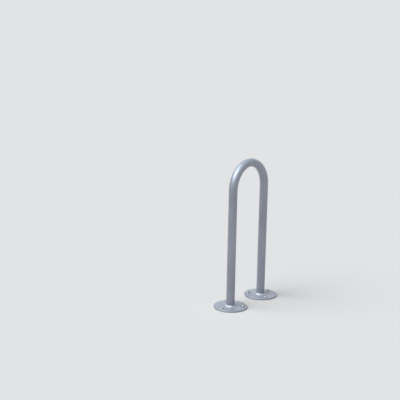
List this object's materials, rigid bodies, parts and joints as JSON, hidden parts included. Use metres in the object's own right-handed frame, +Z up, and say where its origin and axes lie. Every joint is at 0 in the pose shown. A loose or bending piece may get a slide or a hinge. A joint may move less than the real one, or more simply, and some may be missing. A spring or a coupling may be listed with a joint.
{
  "type": "hoop bike rack",
  "caption": "Floor-mounted hoop for locking a bicycle: a round steel tube bent into an upside-down U, its legs welded to round screwed-down flanges.",
  "frame": {"origin": "on the ground, midway between the two feet", "axes": "+Z up, +X along the hoop from the left foot to the right foot, +Y through the hoop"},
  "size_m": [0.4, 0.16, 0.7],
  "materials": {
    "coated_steel": "silver-grey metallic powder coat, satin, faint orange peel, a thin pale film of dust on what faces up",
    "coated_weld": "the same powder coat, brighter and glossier over a rippled weld bead",
    "stainless_steel": "stainless, turned and lightly worn",
    "zinc_plate": "zinc plate, dull bright"
  },
  "bodies": {
    "root": {"hoop_tube": "coated_steel", "left_flange": "coated_steel", "right_flange": "coated_steel", "left_weld": "coated_weld", "right_weld": "coated_weld", "left_screw_1": "stainless_steel", "left_screw_2": "stainless_steel", "left_screw_3": "stainless_steel", "right_screw_1": "stainless_steel", "right_screw_2": "stainless_steel", "right_screw_3": "stainless_steel", "left_washer_1": "zinc_plate", "left_washer_2": "zinc_plate", "left_washer_3": "zinc_plate", "right_washer_1": "zinc_plate", "right_washer_2": "zinc_plate", "right_washer_3": "zinc_plate"}
  },
  "joints": []
}
